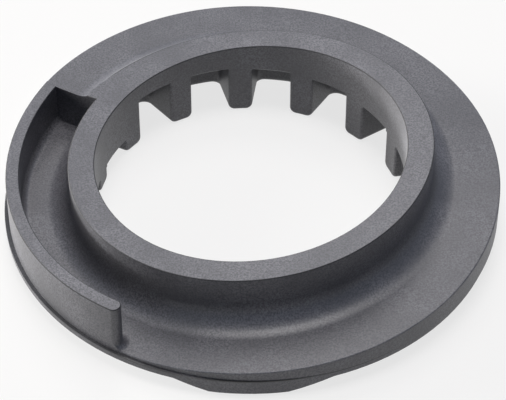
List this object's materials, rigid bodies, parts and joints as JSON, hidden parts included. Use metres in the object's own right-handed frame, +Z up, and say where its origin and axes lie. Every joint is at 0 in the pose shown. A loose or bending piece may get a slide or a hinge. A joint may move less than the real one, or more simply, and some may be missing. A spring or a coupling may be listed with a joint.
{
  "type": "coil spring insulator",
  "caption": "Round rubber seat for the end coil of a suspension spring, with a helical seat, a centring collar, a stop and a curved lip.",
  "frame": {"origin": "middle of the outline seen from above, in the plane of the feet; the bore's axis stands 0.3 mm off it towards -X", "axes": "+Z up along the bore, towards the spring; +X towards the high side of the leaning top; the lip's free end is at about 240 degrees counter-clockwise from +X seen from above"},
  "size_m": [0.142, 0.1414, 0.0295],
  "materials": {
    "rubber": "matte moulded rubber"
  },
  "bodies": {
    "root": {"spring_insulator": "rubber"}
  },
  "joints": []
}
